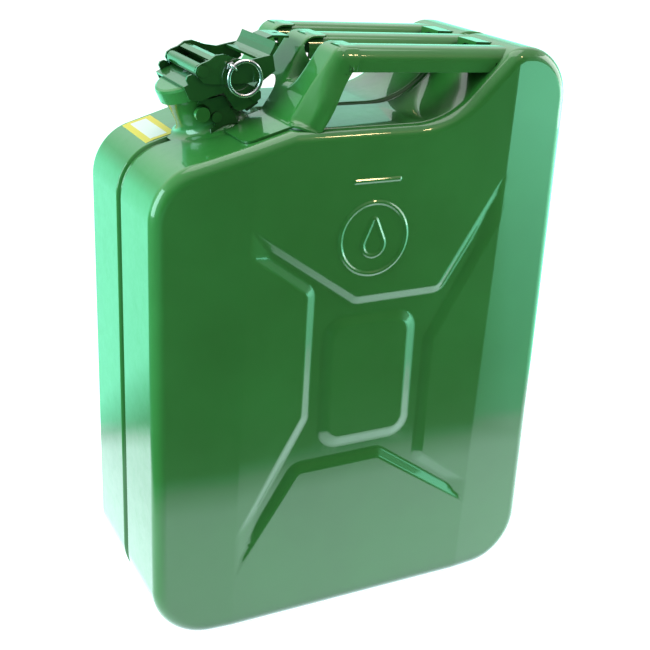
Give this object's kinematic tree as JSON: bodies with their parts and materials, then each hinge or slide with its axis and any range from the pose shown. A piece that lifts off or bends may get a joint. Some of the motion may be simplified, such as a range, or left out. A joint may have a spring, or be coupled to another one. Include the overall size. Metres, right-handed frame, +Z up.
{
  "type": "jerry can",
  "caption": "Pressed-steel fuel can with carrying handles, a leaning spout, and a hinged cap clamped by a lever that a ring pin locks.",
  "frame": {"origin": "middle of the flat base, on the plane of the weld seam", "axes": "+Z up, +X from the spout side towards the hump side, -Y towards the face that is seen with the spout at its left"},
  "size_m": [0.345, 0.1674, 0.47],
  "materials": {
    "green_paint": "high gloss",
    "plain_steel": "satin",
    "bright_steel": "bright",
    "black_rubber": "matt",
    "label_paper": "satin"
  },
  "bodies": {
    "can": {"front_shell": "green_paint", "rear_shell": "green_paint", "weld_seam": "green_paint", "spout_neck": "green_paint", "breather_tube": "plain_steel", "side_studs": "green_paint", "hinge_bracket": "green_paint", "bracket_rivets": "green_paint", "hinge_pin": "green_paint", "handle_bracket": "green_paint", "handle_front": "green_paint", "handle_middle": "green_paint", "handle_rear": "green_paint", "handle_saddles": "green_paint", "info_label": "label_paper"},
    "yoke": {"cap_yoke": "green_paint", "cap_rivet": "plain_steel"},
    "cap_body": {"cap": "green_paint", "cap_gasket": "black_rubber"},
    "lever": {"clamp_lever": "green_paint", "lever_pin": "green_paint"},
    "lock": {"locking_pin": "bright_steel"},
    "ring": {"pin_ring": "bright_steel"}
  },
  "joints": [
    {"name": "yoke_swing", "type": "hinge", "parent": "can", "child": "yoke", "pos_m": [-0.07755, 0, 0.43015], "axis": [0, 1, 0], "range_deg": [0, 91]},
    {"name": "cap_turn", "type": "hinge", "parent": "yoke", "child": "cap_body", "pos_m": [-0.11666, 0, 0.44303], "axis": [-0.4226, 0, 0.9063], "continuous": true},
    {"name": "lever_lift", "type": "hinge", "parent": "yoke", "child": "lever", "pos_m": [-0.11899, 0, 0.44922], "axis": [0, -1, 0], "range_deg": [0, 130]},
    {"name": "pin_slide", "type": "slide", "parent": "lever", "child": "lock", "axis": [0, -1, 0], "range_m": [0, 0.02]},
    {"name": "ring_swing", "type": "hinge", "parent": "lock", "child": "ring", "pos_m": [-0.09775, -0.0386, 0.45217], "axis": [-0.6691, 0, -0.7431], "range_deg": [0, 80]}
  ],
  "couplings": [
    {"joint": "yoke_swing", "follows": "lever_lift", "ratio": 0.7}
  ]
}
